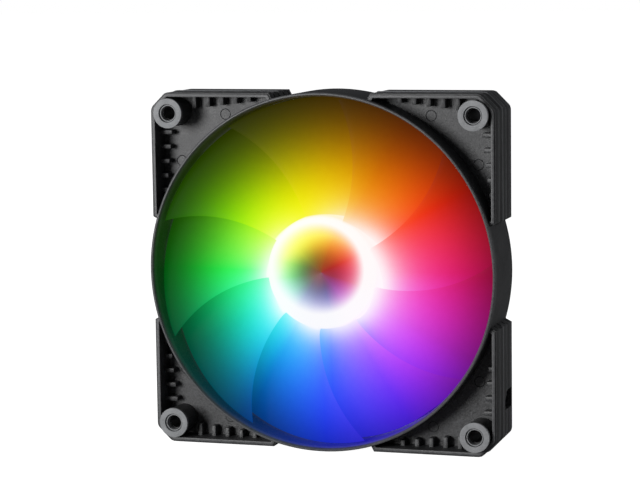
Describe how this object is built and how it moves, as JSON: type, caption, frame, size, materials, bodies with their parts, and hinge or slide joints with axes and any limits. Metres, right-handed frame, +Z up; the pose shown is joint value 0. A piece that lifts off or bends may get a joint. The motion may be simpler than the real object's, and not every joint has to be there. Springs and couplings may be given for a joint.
{
  "type": "case fan",
  "caption": "Square-cornered axial case fan in a round duct, with rubber corner pads and a lit frosted impeller that spins on a sleeve bearing.",
  "frame": {"origin": "middle of the fan on its axis, halfway between the front and rear pads", "axes": "+Y along the airflow, from the intake side to the outlet side; +Z up; +X right, seen from the intake side"},
  "size_m": [0.1194, 0.025, 0.1194],
  "materials": {
    "housing": "fine-grained black moulding",
    "frosted": "frosted translucent plastic, lit from behind",
    "pad": "matt grey rubber",
    "steel": "drawn steel",
    "magnet": "bonded ferrite",
    "brass": "turned brass",
    "bronze": "oil-filled sintered bronze",
    "laminate": "stacked steel sheets",
    "copper": "enamelled copper wire",
    "nylon": "natural nylon",
    "board": "dark solder mask",
    "chip": "moulded epoxy",
    "ceramic": "fired ceramic",
    "led": "white housing round a clear lens",
    "label": "blank satin foil"
  },
  "bodies": {
    "housing": {"bearing_cap": "nylon", "bearing_sleeve": "bronze", "circuit_board": "board", "coil_1": "copper", "coil_2": "copper", "coil_3": "copper", "coil_4": "copper", "current_resistor": "ceramic", "driver_chip": "chip", "frame": "housing", "front_insulator": "nylon", "front_pad_lower_left": "pad", "front_pad_lower_right": "pad", "front_pad_upper_left": "pad", "front_pad_upper_right": "pad", "hall_sensor": "chip", "led_1": "led", "led_2": "led", "led_3": "led", "led_4": "led", "led_5": "led", "led_6": "led", "led_7": "led", "led_8": "led", "led_driver_chip": "chip", "oil_seal": "nylon", "rear_insulator": "nylon", "rear_label": "label", "rear_pad_lower_left": "pad", "rear_pad_lower_right": "pad", "rear_pad_upper_left": "pad", "rear_pad_upper_right": "pad", "rotation_diode": "chip", "smoothing_capacitor": "ceramic", "stator_core": "laminate", "thrust_pad": "nylon"},
    "rotor": {"impeller": "frosted", "rotor_yoke": "steel", "ring_magnet": "magnet", "shaft_collar": "brass", "shaft": "steel", "shaft_clip": "steel"}
  },
  "joints": [
    {"name": "impeller_spin", "type": "hinge", "parent": "housing", "child": "rotor", "pos_m": [0, 0, 0], "axis": [0, -1, 0], "continuous": true}
  ]
}
